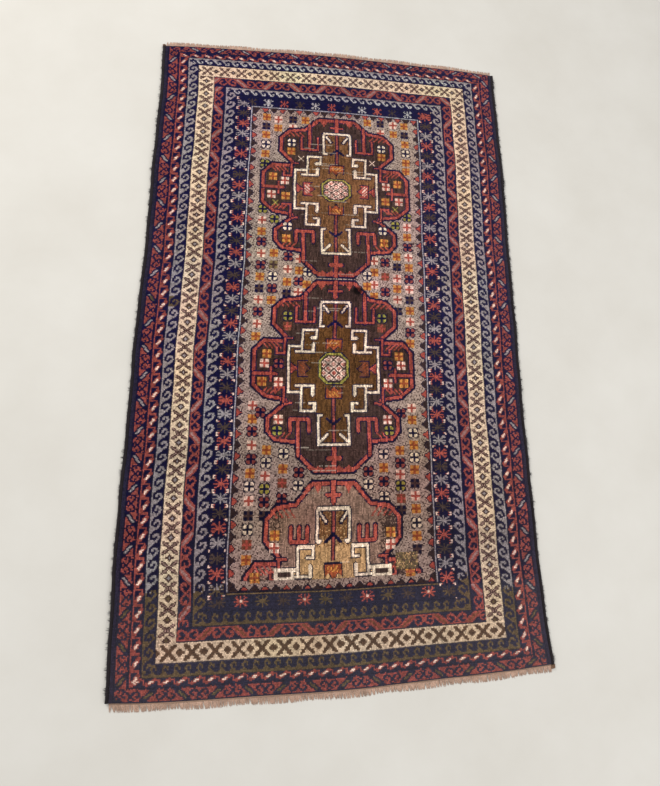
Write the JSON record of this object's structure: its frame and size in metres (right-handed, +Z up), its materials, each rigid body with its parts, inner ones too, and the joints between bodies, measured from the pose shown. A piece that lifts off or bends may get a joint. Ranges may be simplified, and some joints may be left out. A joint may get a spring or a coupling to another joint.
{
  "type": "rug",
  "caption": "Flat hand-knotted wool rug with nested patterned borders, stepped medallions, overcast sides and short warp fringes at both ends.",
  "frame": {"origin": "middle of the bounding box, on the floor that the rug lies on", "axes": "+X across the rug to its right side, +Y along its length to the head end, +Z up through the pile"},
  "size_m": [1.225, 2.11, 0.008],
  "materials": {
    "warp_and_weft_wool": "matt handspun wool warps and wefts in plain weave",
    "fringe_wool": "matt loose wool warp ends",
    "goat_hair": "dull dark goat hair, overcast, slightly hairy",
    "tie_wool": "matt brown wool, knotted",
    "repair_wool": "matt olive-tan wool, rewoven by hand",
    "pile_ivory": "cut wool pile, undyed ivory with brown figures",
    "pile_red": "cut wool pile, madder red with navy figures",
    "pile_grey": "cut wool pile, faded grey-blue with many-coloured small flowers",
    "pile_olive": "cut wool pile, olive-gold brown, abrashed",
    "pile_brown": "cut wool pile, corroded dark brown with red and navy figures",
    "pile_navy": "cut wool pile, indigo navy with grey-blue and red figures"
  },
  "bodies": {
    "root": {"corner_tie_foot_right": "tie_wool", "corner_tie_head_left": "tie_wool", "foundation_cloth": "warp_and_weft_wool", "fringe_foot": "fringe_wool", "fringe_head": "fringe_wool", "pile_edge_stripe_left": "pile_navy", "pile_edge_stripe_right": "pile_navy", "pile_field_ground": "pile_grey", "pile_field_line": "pile_grey", "pile_guard_border_foot": "pile_navy", "pile_guard_border_head": "pile_navy", "pile_guard_border_left": "pile_navy", "pile_guard_border_right": "pile_navy", "pile_ivory_lattice_border_foot": "pile_ivory", "pile_ivory_lattice_border_head": "pile_ivory", "pile_ivory_lattice_border_left": "pile_ivory", "pile_ivory_lattice_border_right": "pile_ivory", "pile_medallion_centre_ground": "pile_brown", "pile_medallion_centre_heart": "pile_olive", "pile_medallion_centre_ivory_cross": "pile_ivory", "pile_medallion_centre_outline": "pile_red", "pile_medallion_centre_rosette": "pile_brown", "pile_medallion_foot_ground": "pile_brown", "pile_medallion_foot_heart": "pile_olive", "pile_medallion_foot_ivory_cross": "pile_ivory", "pile_medallion_foot_outline": "pile_red", "pile_medallion_head_ground": "pile_brown", "pile_medallion_head_heart": "pile_olive", "pile_medallion_head_ivory_cross": "pile_ivory", "pile_medallion_head_outline": "pile_red", "pile_medallion_head_rosette": "pile_brown", "pile_red_meander_border_foot": "pile_red", "pile_red_meander_border_head": "pile_red", "pile_red_meander_border_left": "pile_red", "pile_red_meander_border_right": "pile_red", "pile_red_outer_border_foot": "pile_red", "pile_red_outer_border_head": "pile_red", "pile_red_outer_border_left": "pile_red", "pile_red_outer_border_right": "pile_red", "pile_running_dog_inner_foot": "pile_navy", "pile_running_dog_inner_head": "pile_navy", "pile_running_dog_inner_left": "pile_navy", "pile_running_dog_inner_right": "pile_navy", "pile_running_dog_outer_foot": "pile_navy", "pile_running_dog_outer_head": "pile_navy", "pile_running_dog_outer_left": "pile_navy", "pile_running_dog_outer_right": "pile_navy", "pile_sawtooth_edging": "pile_red", "pile_star_border_foot": "pile_navy", "pile_star_border_head": "pile_navy", "pile_star_border_left": "pile_navy", "pile_star_border_right": "pile_navy", "repair_patch": "repair_wool", "selvedge_core_left": "warp_and_weft_wool", "selvedge_core_right": "warp_and_weft_wool", "selvedge_overcast_left": "goat_hair", "selvedge_overcast_right": "goat_hair"}
  },
  "joints": []
}
